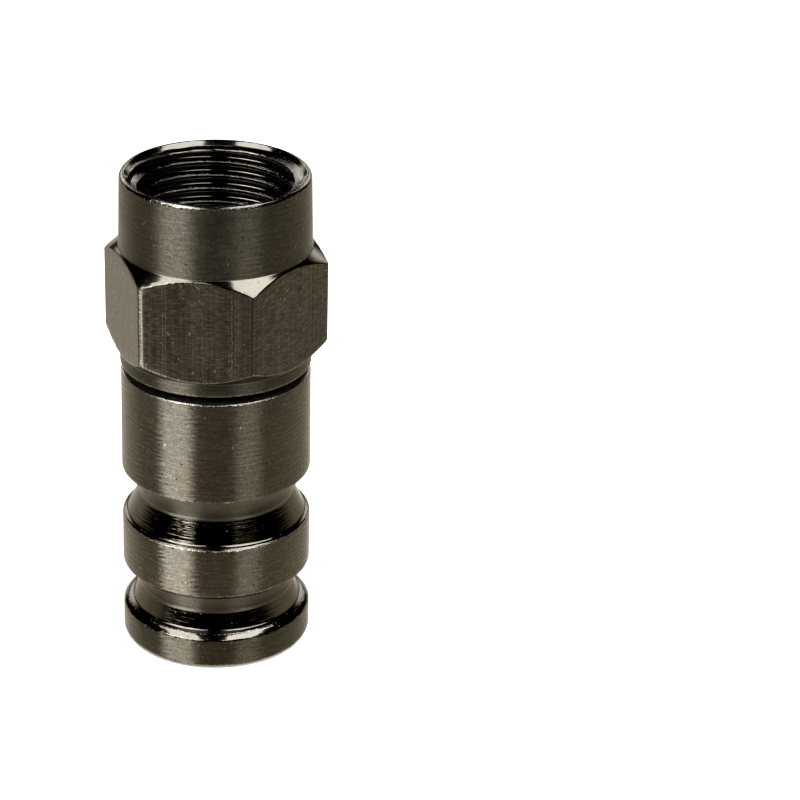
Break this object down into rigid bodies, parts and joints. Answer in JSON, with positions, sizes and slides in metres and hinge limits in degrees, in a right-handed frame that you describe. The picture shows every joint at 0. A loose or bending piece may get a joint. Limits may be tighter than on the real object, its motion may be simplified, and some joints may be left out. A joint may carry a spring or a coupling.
{
  "type": "f connector",
  "caption": "Coaxial cable F plug for crimping by compression: free-turning hexagon coupling nut on a post, and a round body with collapse grooves at the cable end.",
  "frame": {"origin": "centre of the cable end's face, which the connector stands on", "axes": "+Z along the axis towards the nut's mouth; +X through a corner of the hexagon, +Y through a flat"},
  "size_m": [0.0128, 0.011, 0.0282],
  "materials": {
    "body_plate": "turned brass with polished black nickel plate",
    "nut_plate": "drawn hexagon brass with black nickel plate",
    "post_plate": "turned brass with nickel plate",
    "seal_rubber": "moulded black rubber"
  },
  "bodies": {
    "plug": {"connector_body": "body_plate", "inner_post": "post_plate", "seal_ring": "seal_rubber"},
    "nut": {"coupling_nut": "nut_plate"}
  },
  "joints": [
    {"name": "nut_turn", "type": "hinge", "parent": "plug", "child": "nut", "pos_m": [0, 0, 0.0225], "axis": [0, 0, 1], "continuous": true}
  ]
}
